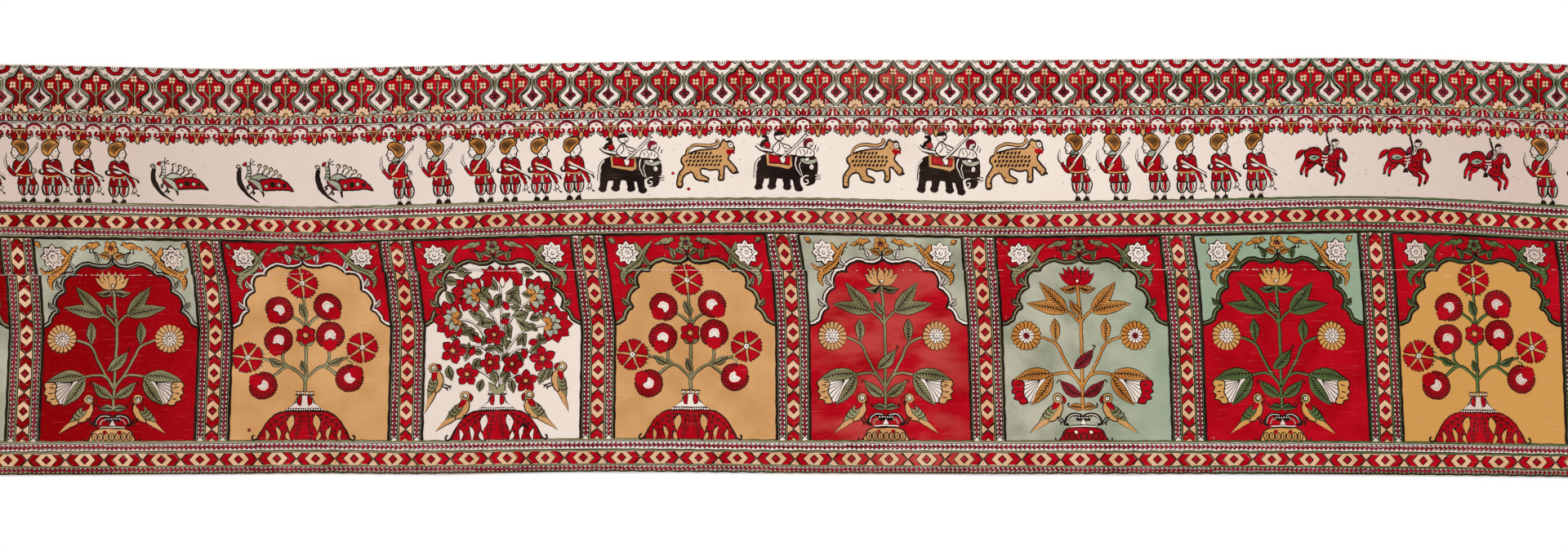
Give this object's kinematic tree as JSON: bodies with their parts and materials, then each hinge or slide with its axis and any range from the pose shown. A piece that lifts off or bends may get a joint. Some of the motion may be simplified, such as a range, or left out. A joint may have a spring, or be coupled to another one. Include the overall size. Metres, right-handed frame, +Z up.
{
  "type": "tent panel",
  "caption": "Long block-printed cotton tent panel lying flat: two loom widths seamed lengthwise, with a frieze, a procession band and a row of flowering niches.",
  "frame": {"origin": "on the surface the panel lies on, under the middle of the panel", "axes": "+X along the panel, +Y up its printed face towards the frieze, +Z up out of the printed face"},
  "size_m": [4.18, 0.9768, 0.0077],
  "materials": {
    "printed_cotton": "matte plain-weave cotton, block printed in red, black, green and ochre"
  },
  "bodies": {
    "root": {"upper_width": "printed_cotton", "lower_width": "printed_cotton"}
  },
  "joints": []
}
